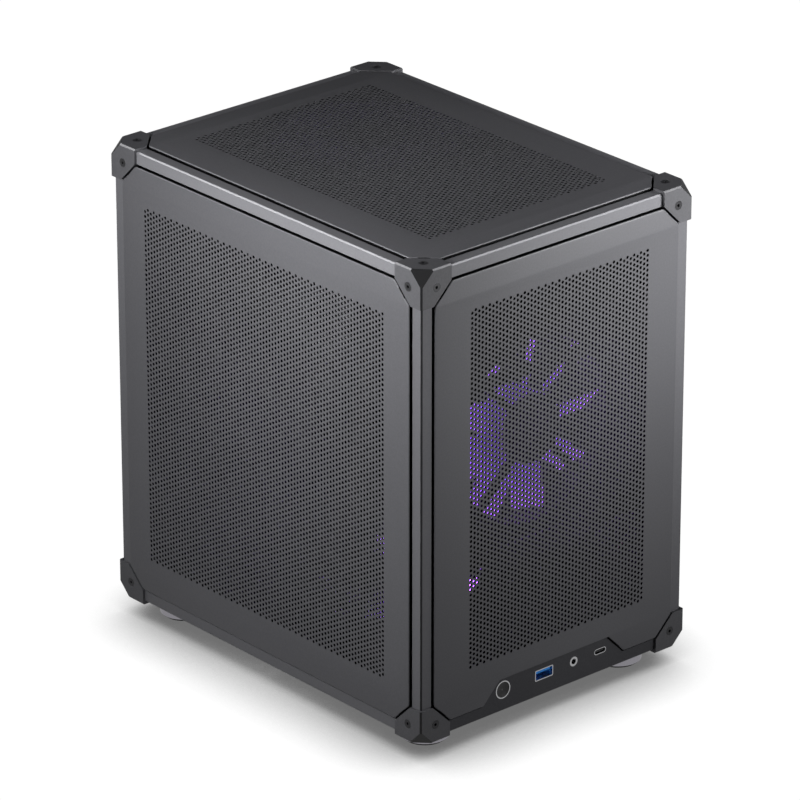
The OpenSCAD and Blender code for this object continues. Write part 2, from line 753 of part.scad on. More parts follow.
// Board tray on the ledges behind the right panel, with the opening behind the processor
inner_start = rail_face + 0.4;
second_start = inner_start + fold_t;
lip_w = 8;
cpu_window = [92, 96];
cpu_centre = [rear_wall_y - 92, board_top - 78];
module tray_outline(i) {
    side_outline(-frame_d / 2 + front_fan_y + 0.4, frame_d / 2 - inner_start,
        second_start, frame_h - socket_depth - slack, i, 7);
}
module board_tray() {
    depth = frame_w / 2 - rail_face - tray_x;
    color(sheet_black) difference() {
        translate([frame_w / 2 - rail_face, 0, low_z]) rotate([90, 0, 90]) mirror([0, 0, 1])
            difference() {
                folded(depth) {
                    tray_outline(0);
                    tray_outline(fold_t);
                    tray_outline(lip_w);
                }
                translate([cpu_centre[0], cpu_centre[1], depth - 2 * fold_t])
                    linear_extrude(3 * fold_t) square(cpu_window, center = true);
            }
        // Holes for the snap sockets that come through the rear post's ledge
        for (z = stud_spots_z) at_corner(1, 1, -1) translate([rail_step, stud_inset, z])
            rotate([0, 90, 0]) cylinder(r = socket_clear_r, h = socket_depth - rail_step + slack);
    }
}
module board_standoffs() {
    color("gold") for (y = board_columns, z = board_rows)
        translate([board_x, y, low_z + z]) rotate([0, 90, 0]) difference() {
            cylinder(r = standoff_r, h = standoff_h, $fn = 36);
            translate([0, 0, -over]) cylinder(r = standoff_hole_r, h = standoff_h, $fn = 24);
        }
}

// Front fan bracket on the front posts' ledges, with a bar across its round opening
fan_bar_lift = 39;
fan_bar_h = 8;
bracket_low = front_fan_z - fan_size / 2 - 8;
module fan_bracket_outline(i) {
    side_outline(-frame_w / 2 + second_start, frame_w / 2 - second_start,
        bracket_low, frame_h - second_start, i, 7);
}
module front_fan_bracket() {
    depth = front_fan_y - rail_face;
    color(sheet_black) difference() {
        translate([0, -frame_d / 2 + rail_face, low_z]) rotate([90, 0, 0]) mirror([0, 0, 1])
            difference() {
                folded(depth) {
                    fan_bracket_outline(0);
                    fan_bracket_outline(fold_t);
                    fan_bracket_outline(lip_w);
                }
                translate([0, front_fan_z, depth - 2 * fold_t]) linear_extrude(3 * fold_t) {
                    difference() {
                        circle(r = fan_size / 2 - 3, $fn = 96);
                        translate([-fan_size, fan_bar_lift - fan_bar_h / 2])
                            square([2 * fan_size, fan_bar_h]);
                    }
                    fan_corners(fan_size) circle(r = fan_hole_r);
                }
            }
        // Holes for the snap sockets of the front panel and of the side panels
        for (sx = [-1, 1], z = stud_spots_z) at_corner(sx, -1, -1) {
            translate([stud_inset, rail_step, z]) rotate([-90, 0, 0])
                cylinder(r = socket_clear_r, h = socket_depth - rail_step + slack);
            translate([rail_step, stud_inset, z]) rotate([0, 90, 0])
                cylinder(r = socket_clear_r, h = socket_depth - rail_step + slack);
        }
    }
}

// Top fan plate under the top ledges
window_gap = 12;
module top_fan_plate() {
    edge = inner_start;
    win_x = frame_w / 2 - ledge_end - window_gap;
    win_y0 = -frame_d / 2 + ledge_end + window_gap;
    win_y1 = top_fan_y - fan_size / 2 - window_gap;
    color(sheet_black) translate([0, 0, top_z - rail_face - fold_t]) linear_extrude(fold_t)
        difference() {
            cut_corner_box(frame_w / 2 - edge, frame_d / 2 - edge, 7);
            translate([top_fan_x, top_fan_y]) {
                circle(r = fan_size / 2 - 3, $fn = 96);
                fan_corners(fan_size) circle(r = fan_hole_r);
            }
            translate([-win_x, win_y0]) square([2 * win_x, win_y1 - win_y0]);
            for (x = [-1, 1], y = stud_spots_y)
                translate([x * (frame_w / 2 - stud_inset), y - frame_d / 2])
                    circle(r = socket_clear_r);
        }
}

// Fan: a square frame with a round duct, a motor seat on four struts and a turning rotor.
// Drawn about its axis with the struts on the +Z side.
function fan_spacing(size) = size >= 130 ? size - 15.5 : size - 15;
module fan_corners(size) {
    s = fan_spacing(size) / 2;
    for (x = [-1, 1], y = [-1, 1]) translate([x * s, y * s]) children();
}
fan_wall = 2;
seat_t = 3;
motor_gap = 0.6;
cap_t = 2;
shaft_r = 1.55;
cap_low = 2.5;
module fan_frame(size) {
    duct_r = size / 2 - fan_wall;
    flange_t = 4;
    corner_cut = 4;
    color(plastic_black) {
        difference() {
            union() {
                for (z = [0, fan_depth - flange_t]) translate([0, 0, z]) linear_extrude(flange_t)
                    cut_corner_box(size / 2, size / 2, corner_cut);
                cylinder(r = size / 2, h = fan_depth, $fn = 96);
            }
            translate([0, 0, -over]) cylinder(r = duct_r, h = fan_depth + 2 * over, $fn = 96);
            translate([0, 0, -over]) linear_extrude(fan_depth + 2 * over) fan_corners(size)
                circle(r = fan_hole_r, $fn = 24);
        }
        difference() {
            union() {
                for (a = [45:90:315]) rotate(a) translate([hub_r - over, -2, fan_depth - seat_t])
                    cube([duct_r - hub_r + over + fan_wall / 2, 4, seat_t]);
                translate([0, 0, fan_depth - seat_t]) cylinder(r = hub_r, h = seat_t);
                translate([0, 0, cap_low + cap_t + motor_gap])
                    cylinder(r = hub_r - cap_t - motor_gap, h = fan_depth - seat_t - cap_low - cap_t);
            }
            translate([0, 0, -over]) cylinder(r = shaft_r + 0.05, h = fan_depth - 1);
        }
    }
}
// One blade is a thin arc seen from its tip, carried straight out from the hub
module blade(tip_r) {
    bend_r = 26;
    blade_t = 1.6;
    span = [17, 15.5];
    mid_z = cap_low + span[1] / 2 + 1;
    intersection() {
        rotate([90, 0, 90]) linear_extrude(tip_r) translate([0, mid_z]) intersection() {
            square(span, center = true);
            translate([-bend_r * 0.64, bend_r * 0.77]) difference() {
                circle(r = bend_r, $fn = 96);
                circle(r = bend_r - blade_t, $fn = 96);
            }
        }
        difference() {
            cylinder(r = tip_r, h = fan_depth, $fn = 96);
            translate([0, 0, -over]) cylinder(r = hub_r - cap_t / 2, h = fan_depth + 2 * over);
        }
    }
}
module fan_rotor(size) {
    tip_r = size / 2 - fan_wall - 1.2;
    cap_top = fan_depth - seat_t - motor_gap;
    color(lit_violet) {
        difference() {
            translate([0, 0, cap_low]) cylinder(r = hub_r, h = cap_top - cap_low);
            translate([0, 0, cap_low + cap_t]) cylinder(r = hub_r - cap_t, h = fan_depth);
        }
        translate([0, 0, cap_low]) cylinder(r = shaft_r, h = cap_top - cap_low - over);
        for (k = [0:blades - 1]) rotate(k * 360 / blades) blade(tip_r);
    }
}
module at_front_fan() {
    translate([0, -frame_d / 2 + front_fan_y + fan_depth, low_z + front_fan_z]) rotate([90, 0, 0])
        children();
}
module at_top_fan() {
    translate([top_fan_x, top_fan_y, top_z - rail_face - fold_t - fan_depth]) children();
}
module at_low_fan() {
    translate([low_fan_x, low_fan_y, low_z + rail_step]) children();
}

// Self-cutting fan screw, drawn from its head down the Z axis
module fan_screw(sheet) {
    head_h = 1.5;
    shank_r = fan_hole_r - 0.1;
    difference() {
        union() {
            translate([0, 0, -head_h]) cylinder(r = 3.4, h = head_h);
            cylinder(r = shank_r, h = sheet + 7);
        }
        translate([0, 0, -head_h - over]) cylinder(r = 1.2, h = head_h + over, $fn = 6);
    }
}
module fan_screws() {
    color(sheet_black) {
        at_front_fan() fan_corners(fan_size) translate([0, 0, fan_depth + fold_t])
            mirror([0, 0, 1]) fan_screw(fold_t);
        at_top_fan() fan_corners(fan_size) translate([0, 0, fan_depth + fold_t])
            mirror([0, 0, 1]) fan_screw(fold_t);
        at_low_fan() fan_corners(low_fan_size) translate([0, 0, -plate_t]) fan_screw(plate_t);
    }
}

post(-1, -1);  // front_left_post
post(1, -1);  // front_right_post
post(-1, 1);  // rear_left_post
post(1, 1);  // rear_right_post
depth_rail(-1, 1);  // top_left_rail
depth_rail(1, 1);  // top_right_rail
depth_rail(-1, -1);  // bottom_left_rail
depth_rail(1, -1);  // bottom_right_rail
width_rail(-1, 1);  // top_front_rail
width_rail(1, 1);  // top_rear_rail
width_rail(1, -1);  // bottom_rear_rail
front_port_rail();
bracket(-1, -1, -1);  // bracket_front_left_low
bracket(1, -1, -1);  // bracket_front_right_low
bracket(-1, 1, -1);  // bracket_rear_left_low
bracket(1, 1, -1);  // bracket_rear_right_low
bracket(-1, -1, 1);  // bracket_front_left_top
bracket(1, -1, 1);  // bracket_front_right_top
bracket(-1, 1, 1);  // bracket_rear_left_top
bracket(1, 1, 1);  // bracket_rear_right_top
corner_screws();
left_panel();
right_panel();
front_panel();
top_panel();
snap_sockets();
rear_sheet();
bottom_sheet();
sheet_screws();
foot(-1, -1);  // foot_front_left
foot(1, -1);  // foot_front_right
foot(-1, 1);  // foot_rear_left
foot(1, 1);  // foot_rear_right
foot_pads();
power_button();
power_ring();
usb_a_shell();
usb_a_tongue();
headphone_socket();
usb_c_shell();
usb_c_tongue();
port_board();
power_switch();
board_tray();
board_standoffs();
slot_cover(0);  // slot_cover_1
slot_cover(1);  // slot_cover_2
slot_cover(2);  // slot_cover_3
slot_cover(3);  // slot_cover_4
front_fan_bracket();
top_fan_plate();
fan_screws();
at_front_fan() fan_frame(fan_size);  // front_fan_frame
at_front_fan() fan_rotor(fan_size);  // front_fan_rotor
at_top_fan() fan_frame(fan_size);  // top_fan_frame
at_top_fan() fan_rotor(fan_size);  // top_fan_rotor
at_low_fan() fan_frame(low_fan_size);  // bottom_fan_frame
at_low_fan() fan_rotor(low_fan_size);  // bottom_fan_rotor
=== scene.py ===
from math import cos, pi, radians, sqrt

import bpy
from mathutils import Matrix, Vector


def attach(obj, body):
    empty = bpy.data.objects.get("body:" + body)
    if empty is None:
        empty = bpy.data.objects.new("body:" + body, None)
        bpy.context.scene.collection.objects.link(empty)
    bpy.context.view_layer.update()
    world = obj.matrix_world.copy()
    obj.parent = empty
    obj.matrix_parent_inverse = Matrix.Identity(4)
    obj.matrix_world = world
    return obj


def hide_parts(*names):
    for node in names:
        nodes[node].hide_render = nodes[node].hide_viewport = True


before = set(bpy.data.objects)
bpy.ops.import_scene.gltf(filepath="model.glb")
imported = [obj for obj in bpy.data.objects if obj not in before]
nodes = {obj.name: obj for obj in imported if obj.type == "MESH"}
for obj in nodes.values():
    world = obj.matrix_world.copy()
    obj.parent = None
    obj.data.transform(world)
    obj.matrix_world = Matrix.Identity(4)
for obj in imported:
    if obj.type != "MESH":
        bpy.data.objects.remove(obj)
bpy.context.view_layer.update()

# ---- Camera: stands to the left of the front corner and looks slightly down, from far away,
# so that the tower's upright edges stay almost parallel.
eye = bpy.data.cameras.new("photo_camera")
eye.lens = 260.35
eye.sensor_width = 36.0
eye.clip_end = 30.0
camera = bpy.data.objects.new("photo_camera", eye)
camera.location = (-2.0552, -2.3363, 1.5160)
camera.rotation_euler = (radians(90.0 - 23.65), 0.0, radians(-41.35))
bpy.context.collection.objects.link(camera)
bpy.context.scene.camera = camera
bpy.context.scene.view_settings.view_transform = "Standard"

# ---- Studio: a pale sweep under and behind the object. Camera rays see it as plain white,
# darkened only by a painted soft shadow close to the object, drawn from ambient occlusion.
# It throws little light back, so the sides keep their fall of light from top to bottom, but
# polished metal mirrors it bright.
bpy.ops.object.select_all(action="DESELECT")
bpy.ops.mesh.primitive_plane_add(size=12.0, location=(0.0, 0.0, 0.0))
floor = bpy.context.active_object
floor.name = "studio_floor"
floor_paint = bpy.data.materials.new("studio_floor_paint")
floor_paint.use_nodes = True
tree = floor_paint.node_tree
tree.nodes.remove(tree.nodes["Principled BSDF"])
painted_floor_shadow = tree.nodes.new("ShaderNodeAmbientOcclusion")
painted_floor_shadow.samples = 16
painted_floor_shadow.inputs["Distance"].default_value = 0.06
shade = tree.nodes.new("ShaderNodeMapRange")
shade.inputs["From Min"].default_value = 0.30
shade.inputs["From Max"].default_value = 0.88
shade.inputs["To Min"].default_value = 0.16
shade.inputs["To Max"].default_value = 1.02
seen = tree.nodes.new("ShaderNodeEmission")
seen.inputs["Color"].default_value = (1.0, 1.0, 1.0, 1.0)
dull = tree.nodes.new("ShaderNodeBsdfDiffuse")
dull.inputs["Color"].default_value = (0.14, 0.14, 0.14, 1.0)
mirrored = tree.nodes.new("ShaderNodeEmission")
mirrored.inputs["Color"].default_value = (1.0, 1.0, 1.0, 1.0)
mirrored.inputs["Strength"].default_value = 0.35
path = tree.nodes.new("ShaderNodeLightPath")
others = tree.nodes.new("ShaderNodeMixShader")
either = tree.nodes.new("ShaderNodeMixShader")
tree.links.new(painted_floor_shadow.outputs["AO"], shade.inputs["Value"])
tree.links.new(shade.outputs["Result"], seen.inputs["Strength"])
tree.links.new(path.outputs["Is Glossy Ray"], others.inputs["Fac"])
tree.links.new(dull.outputs["BSDF"], others.inputs[1])
tree.links.new(mirrored.outputs["Emission"], others.inputs[2])
tree.links.new(path.outputs["Is Camera Ray"], either.inputs["Fac"])
tree.links.new(others.outputs["Shader"], either.inputs[1])
tree.links.new(seen.outputs["Emission"], either.inputs[2])
tree.links.new(either.outputs["Shader"], tree.nodes["Material Output"].inputs["Surface"])
floor.data.materials.append(floor_paint)

world = bpy.data.worlds.new("studio_air")
bpy.context.scene.world = world
world.use_nodes = True
tree = world.node_tree
air = tree.nodes["Background"]
air.inputs["Color"].default_value = (0.93, 0.94, 1.0, 1.0)
air.inputs["Strength"].default_value = 0.07
seen = tree.nodes.new("ShaderNodeBackground")
seen.inputs["Color"].default_value = (1.0, 1.0, 1.0, 1.0)
seen.inputs["Strength"].default_value = 1.0
path = tree.nodes.new("ShaderNodeLightPath")
either = tree.nodes.new("ShaderNodeMixShader")
tree.links.new(path.outputs["Is Camera Ray"], either.inputs["Fac"])
tree.links.new(air.outputs["Background"], either.inputs[1])
tree.links.new(seen.outputs["Background"], either.inputs[2])
tree.links.new(either.outputs["Shader"], tree.nodes["World Output"].inputs["Surface"])


def lamp(name, place, target, size, watts, spread=180.0, diffuse=True):
    """An area lamp. One without diffuse only shows in glossy edges, as a strip light does."""
    light = bpy.data.lights.new(name, "AREA")
    light.shape = "RECTANGLE"
    light.size, light.size_y = size
    light.energy = watts
    light.spread = radians(spread)
    holder = bpy.data.objects.new(name, light)
    holder.location = place
    holder.rotation_euler = (Vector(target) - Vector(place)).to_track_quat("-Z", "Y").to_euler()
    holder.visible_diffuse = diffuse
    bpy.context.collection.objects.link(holder)


lamp("left_softbox", (-0.55, -0.05, 0.44), (-0.10, -0.05, 0.34), (0.25, 0.25), 1.5, 95.0)
lamp("right_softbox", (0.35, -0.50, 0.36), (0.11, -0.135, 0.29), (0.20, 0.20), 0.41, 46.0)
lamp("overhead_softbox", (-0.4, -0.6, 2.6), (0.0, 0.0, 0.1), (1.4, 1.4), 0.85)
lamp("low_front_fill", (0.30, -0.75, 0.12), (0.03, -0.135, 0.05), (0.30, 0.20), 0.36, 100.0)
lamp("right_strip", (1.21, -0.76, 1.62), (0.0, -0.10, 0.29), (0.70, 0.70), 26.0, 180.0, False)
lamp("rear_left_strip", (-0.86, 1.40, 1.47), (-0.10, 0.0, 0.29), (0.70, 0.70), 26.0, 180.0, False)

# ---- Surface effects shared by several materials. Each is a node group with its own values
# in every material: fine orange peel of powder coat, moulded grain, and a turned or drawn line.
def new_group(name, inputs, outputs):
    ng = bpy.data.node_groups.new(name, "ShaderNodeTree")
    for label, kind, value in inputs:
        socket = ng.interface.new_socket(label, in_out="INPUT", socket_type=kind)
        socket.default_value = value
    for label, kind in outputs:
        ng.interface.new_socket(label, in_out="OUTPUT", socket_type=kind)
    return ng, ng.nodes.new("NodeGroupInput"), ng.nodes.new("NodeGroupOutput")


powder, g_in, g_out = new_group(
    "powder_coat",
    [("Grain Scale", "NodeSocketFloat", 900.0), ("Grain Depth", "NodeSocketFloat", 0.00006),
     ("Tone Scale", "NodeSocketFloat", 6.0)],
    [("Normal", "NodeSocketVector"), ("Tone", "NodeSocketFloat"), ("Grain", "NodeSocketFloat")])
coords = powder.nodes.new("ShaderNodeTexCoord")
grain = powder.nodes.new("ShaderNodeTexNoise")
grain.inputs["Detail"].default_value = 3.0
grain.inputs["Roughness"].default_value = 0.65
slow = powder.nodes.new("ShaderNodeTexNoise")
slow.inputs["Detail"].default_value = 2.0
bump = powder.nodes.new("ShaderNodeBump")
bump.inputs["Strength"].default_value = 0.8
powder.links.new(coords.outputs["Object"], grain.inputs["Vector"])
powder.links.new(coords.outputs["Object"], slow.inputs["Vector"])
powder.links.new(g_in.outputs["Grain Scale"], grain.inputs["Scale"])
powder.links.new(g_in.outputs["Tone Scale"], slow.inputs["Scale"])
powder.links.new(g_in.outputs["Grain Depth"], bump.inputs["Distance"])
powder.links.new(grain.outputs["Fac"], bump.inputs["Height"])
powder.links.new(bump.outputs["Normal"], g_out.inputs["Normal"])
powder.links.new(slow.outputs["Fac"], g_out.inputs["Tone"])
powder.links.new(grain.outputs["Fac"], g_out.inputs["Grain"])

drawn, g_in, g_out = new_group(
    "drawn_metal",
    [("Stretch", "NodeSocketVector", (40.0, 40.0, 4000.0)), ("Depth", "NodeSocketFloat", 0.00001),
     ("Low", "NodeSocketFloat", 0.12), ("High", "NodeSocketFloat", 0.3)],
    [("Normal", "NodeSocketVector"), ("Roughness", "NodeSocketFloat"), ("Tone", "NodeSocketFloat")])
coords = drawn.nodes.new("ShaderNodeTexCoord")
stretch = drawn.nodes.new("ShaderNodeVectorMath")
stretch.operation = "MULTIPLY"
lines = drawn.nodes.new("ShaderNodeTexNoise")
lines.inputs["Scale"].default_value = 1.0
lines.inputs["Detail"].default_value = 3.0
spread = drawn.nodes.new("ShaderNodeMapRange")
bump = drawn.nodes.new("ShaderNodeBump")
bump.inputs["Strength"].default_value = 0.5
drawn.links.new(coords.outputs["Object"], stretch.inputs[0])
drawn.links.new(g_in.outputs["Stretch"], stretch.inputs[1])
drawn.links.new(stretch.outputs["Vector"], lines.inputs["Vector"])
drawn.links.new(lines.outputs["Fac"], spread.inputs["Value"])
drawn.links.new(g_in.outputs["Low"], spread.inputs["To Min"])
drawn.links.new(g_in.outputs["High"], spread.inputs["To Max"])
drawn.links.new(lines.outputs["Fac"], bump.inputs["Height"])
drawn.links.new(g_in.outputs["Depth"], bump.inputs["Distance"])
drawn.links.new(bump.outputs["Normal"], g_out.inputs["Normal"])
drawn.links.new(spread.outputs["Result"], g_out.inputs["Roughness"])
drawn.links.new(lines.outputs["Fac"], g_out.inputs["Tone"])


# How deep a point lies behind the cage's six outer planes, as a mask for painted shade: what
# is deep is painted near black in the gaps and holes, and on a pan's rounded rim this painted
# shade starts a little deeper. A bracket's cut-off corner, whose three depths add up to least,
# and the upright bevels get a darker painted shade, as if turned away from the lights.
deep, g_in, g_out = new_group(
    "painted_shade_by_depth",
    [("Centre", "NodeSocketVector", (0.0, 0.0, 0.1578)), ("Half", "NodeSocketVector", (0.102, 0.135, 0.1445)),
     ("From", "NodeSocketFloat", 0.0011), ("To", "NodeSocketFloat", 0.0018),
     ("Rim", "NodeSocketFloat", 0.0), ("Corner", "NodeSocketFloat", -1.0),
     ("Edge", "NodeSocketFloat", -1.0)],
    [("Hidden", "NodeSocketFloat"), ("Painted Bevel Shade", "NodeSocketFloat")])


def sum_node(operation, *values):
    n = deep.nodes.new("ShaderNodeMath")
    n.operation = operation
    for socket, value in zip(n.inputs, values):
        if isinstance(value, float):
            socket.default_value = value
        else:
            deep.links.new(value, socket)
    return n.outputs["Value"]


coords = deep.nodes.new("ShaderNodeTexCoord")
away = deep.nodes.new("ShaderNodeVectorMath")
away.operation = "SUBTRACT"
size = deep.nodes.new("ShaderNodeVectorMath")
size.operation = "ABSOLUTE"
inward = deep.nodes.new("ShaderNodeVectorMath")
inward.operation = "SUBTRACT"
axes = deep.nodes.new("ShaderNodeSeparateXYZ")
deep.links.new(coords.outputs["Object"], away.inputs[0])
deep.links.new(g_in.outputs["Centre"], away.inputs[1])
deep.links.new(away.outputs["Vector"], size.inputs[0])
deep.links.new(g_in.outputs["Half"], inward.inputs[0])
deep.links.new(size.outputs["Vector"], inward.inputs[1])
deep.links.new(inward.outputs["Vector"], axes.inputs["Vector"])
dx, dy, dz = (axes.outputs[k] for k in "XYZ")
less = sum_node("MINIMUM", dx, dy)
more = sum_node("MAXIMUM", dx, dy)
first = sum_node("MINIMUM", less, dz)
second = sum_node("MAXIMUM", less, sum_node("MINIMUM", more, dz))
near_rim = sum_node("LESS_THAN", second, 0.0125)
lowered = sum_node("SUBTRACT", first, sum_node("MULTIPLY", near_rim, g_in.outputs["Rim"]))
ramp = deep.nodes.new("ShaderNodeMapRange")
deep.links.new(lowered, ramp.inputs["Value"])
deep.links.new(g_in.outputs["From"], ramp.inputs["From Min"])
deep.links.new(g_in.outputs["To"], ramp.inputs["From Max"])
deep.links.new(ramp.outputs["Result"], g_out.inputs["Hidden"])
upright = sum_node("ADD", dx, dy)
deep.links.new(sum_node("MAXIMUM", sum_node("LESS_THAN", upright, g_in.outputs["Edge"]),
                        sum_node("LESS_THAN", sum_node("ADD", upright, dz), g_in.outputs["Corner"])),
               g_out.inputs["Painted Bevel Shade"])


def coated(name, dark, light, rough, metal, grain_scale=900.0, depth=0.00006, tone=6.0, spec=0.5,
           shade_depths=None, rim=0.0, corner=-1.0, edge=-1.0):
    """A coated or moulded surface: two close tones, fine grain in the normal. Where the two
    shade depths are given, painted shade turns the surfaces deeper in the cage than these near
    black and less glossy, starts deeper by rim near a pan's rim, and gives corners and upright
    bevels inside those sums of depths a darker painted shade."""
    paint = bpy.data.materials.new(name)
    paint.use_nodes = True
    t = paint.node_tree
    s = t.nodes["Principled BSDF"]
    s.inputs["Roughness"].default_value = rough
    s.inputs["Metallic"].default_value = metal
    s.inputs["Specular IOR Level"].default_value = spec
    coat = t.nodes.new("ShaderNodeGroup")
    coat.node_tree = powder
    coat.inputs["Grain Scale"].default_value = grain_scale
    coat.inputs["Grain Depth"].default_value = depth
    coat.inputs["Tone Scale"].default_value = tone
    both = t.nodes.new("ShaderNodeMath")
    both.operation = "MULTIPLY_ADD"
    both.inputs[1].default_value = 0.5
    half = t.nodes.new("ShaderNodeMath")
    half.operation = "MULTIPLY"
    half.inputs[1].default_value = 0.5
    shades = t.nodes.new("ShaderNodeValToRGB")
    shades.color_ramp.elements[0].position = 0.35
    shades.color_ramp.elements[0].color = (*dark, 1.0)
    shades.color_ramp.elements[1].position = 0.65
    shades.color_ramp.elements[1].color = (*light, 1.0)
    t.links.new(coat.outputs["Tone"], half.inputs[0])
    t.links.new(coat.outputs["Grain"], both.inputs[0])
    t.links.new(half.outputs["Value"], both.inputs[2])
    t.links.new(both.outputs["Value"], shades.inputs["Fac"])
    t.links.new(coat.outputs["Normal"], s.inputs["Normal"])
    if shade_depths is None:
        t.links.new(shades.outputs["Color"], s.inputs["Base Color"])
        return paint
    hide = t.nodes.new("ShaderNodeGroup")
    hide.node_tree = deep
    hide.inputs["From"].default_value = shade_depths[0]
    hide.inputs["To"].default_value = shade_depths[1]
    hide.inputs["Rim"].default_value = rim
    hide.inputs["Corner"].default_value = corner
    hide.inputs["Edge"].default_value = edge
    # Painted shade: corners and upright bevels take the coat's dark tone at fifteen percent.
    cut = t.nodes.new("ShaderNodeMix")
    cut.data_type = "RGBA"
    cut.inputs["B"].default_value = (dark[0] * 0.15, dark[1] * 0.15, dark[2] * 0.15, 1.0)
    # Painted shade: surfaces deep in the cage turn near black, with their gloss lowered.
    mix = t.nodes.new("ShaderNodeMix")
    mix.data_type = "RGBA"
    mix.inputs["B"].default_value = (0.0012, 0.0012, 0.0014, 1.0)
    gloss = t.nodes.new("ShaderNodeMapRange")
    gloss.inputs["To Min"].default_value = spec
    gloss.inputs["To Max"].default_value = 0.05
    t.links.new(hide.outputs["Hidden"], mix.inputs["Factor"])
    t.links.new(hide.outputs["Painted Bevel Shade"], cut.inputs["Factor"])
    t.links.new(shades.outputs["Color"], cut.inputs["A"])
    t.links.new(cut.outputs["Result"], mix.inputs["A"])
    t.links.new(mix.outputs["Result"], s.inputs["Base Color"])
    t.links.new(hide.outputs["Hidden"], gloss.inputs["Value"])
    t.links.new(gloss.outputs["Result"], s.inputs["Specular IOR Level"])
    return paint


def bright_metal(name, color, stretch, low, high, dark_below=None):
    """Plated or turned metal with fine lines in its gloss. Below a given height its base colour
    is near black."""
    plate = bpy.data.materials.new(name)
    plate.use_nodes = True
    t = plate.node_tree
    s = t.nodes["Principled BSDF"]
    s.inputs["Metallic"].default_value = 1.0
    s.inputs["Base Color"].default_value = (*color, 1.0)
    fine = t.nodes.new("ShaderNodeGroup")
    fine.node_tree = drawn
    fine.inputs["Stretch"].default_value = stretch
    fine.inputs["Low"].default_value = low
    fine.inputs["High"].default_value = high
    t.links.new(fine.outputs["Roughness"], s.inputs["Roughness"])
    t.links.new(fine.outputs["Normal"], s.inputs["Normal"])
    if dark_below is not None:
        place = t.nodes.new("ShaderNodeTexCoord")
        height = t.nodes.new("ShaderNodeSeparateXYZ")
        band = t.nodes.new("ShaderNodeMath")
        band.operation = "LESS_THAN"
        band.inputs[1].default_value = dark_below
        mix = t.nodes.new("ShaderNodeMix")
        mix.data_type = "RGBA"
        mix.inputs["A"].default_value = (*color, 1.0)
        mix.inputs["B"].default_value = (0.006, 0.006, 0.006, 1.0)
        t.links.new(place.outputs["Object"], height.inputs["Vector"])
        t.links.new(height.outputs["Z"], band.inputs[0])
        t.links.new(band.outputs["Value"], mix.inputs["Factor"])
        t.links.new(mix.outputs["Result"], s.inputs["Base Color"])
    return plate


def dress(paint, *names):
    """Gives a CAD node's object its material."""
    for name in names:
        mesh = nodes[name].data
        mesh.materials.clear()
        mesh.materials.append(paint)


# ---- Rails of the cage: extruded aluminium, powder coated in graphite. Their base colour is
# set paler than the panels' as painted light for the side light they catch; painted shade
# darkens their deep faces in the gaps and their upright bevels.
rail_paint = coated("rail_coat", (0.118, 0.118, 0.127), (0.145, 0.145, 0.156), 0.42, 0.15,
                    spec=0.25, shade_depths=(0.0011, 0.0018), edge=0.00086)
dress(rail_paint, "front_left_post", "front_right_post", "rear_left_post", "rear_right_post",
      "bottom_left_rail", "bottom_right_rail", "bottom_rear_rail")
# Top rails: a paler copy of the rail coat, painted light where more light falls near the top.
lit_top_rail_paint = coated("top_rail_coat_painted_light", (0.165, 0.165, 0.177), (0.195, 0.195, 0.208), 0.40, 0.15,
                        spec=0.25, shade_depths=(0.0011, 0.0018))
dress(lit_top_rail_paint, "top_left_rail", "top_right_rail", "top_front_rail", "top_rear_rail")

# ---- Bottom front rail with the port strip: one piece, in a darker copy of the rail coat:
# painted shade for the low front, where less light falls.
shaded_strip_paint = coated("port_strip_coat_painted_shade", (0.045, 0.045, 0.050), (0.060, 0.060, 0.066), 0.46, 0.15,
                     spec=0.2, shade_depths=(0.0011, 0.0018))
dress(shaded_strip_paint, "front_port_rail")

# ---- Corner brackets: cast, a shade darker than the rails and slightly coarser. Painted shade
# darkens their cut-off corners, upright bevels and deep faces.
bracket_paint = coated("bracket_coat", (0.075, 0.075, 0.081), (0.098, 0.098, 0.106), 0.42, 0.15,
                       grain_scale=700.0, depth=0.00008, spec=0.35,
                       shade_depths=(0.0060, 0.0070), corner=0.00475, edge=-0.00244)
dress(bracket_paint, *[n for n in nodes if n.startswith("bracket_")])

# ---- Screws: black oxide with a slight sheen, in the brackets, sheets and fans.
screw_paint = coated("black_oxide", (0.030, 0.030, 0.032), (0.060, 0.060, 0.064), 0.32, 0.6)
dress(screw_paint, "corner_screws", "sheet_screws", "fan_screws")

# ---- Perforated outer panels: sheet metal pressed into shallow pans with rounded edges and
# some thousands of small round holes in a sixty degree pattern. Each cell of the pattern is a
# hexagon round one hole, repeated over the field and filled out to the pan's rim.
# Painted shade: below the pan's face, hole walls, sides and studs are painted near black by depth; on the
# rounded rim it starts a little deeper.
panel_paint = coated("panel_coat", (0.088, 0.088, 0.096), (0.112, 0.112, 0.121), 0.45, 0.15,
                     spec=0.35, shade_depths=(-0.00166, -0.0015), rim=0.0005)
proud = 0.0017
rail_face = 0.0076
panel_gap = 0.0011
bracket_reach = 0.0207
hole_r = 0.00096
sheet = 0.0013
rim_edge = rail_face + panel_gap
rim_leg = rail_face + bracket_reach + panel_gap * sqrt(2.0) - 2.0 * rim_edge
rim_low = -0.0055


def only(obj):
    bpy.ops.object.select_all(action="DESELECT")
    obj.select_set(True)
    bpy.context.view_layer.objects.active = obj


def apply_all(obj):
    only(obj)
    for m in list(obj.modifiers):
        bpy.ops.object.modifier_apply(modifier=m.name)


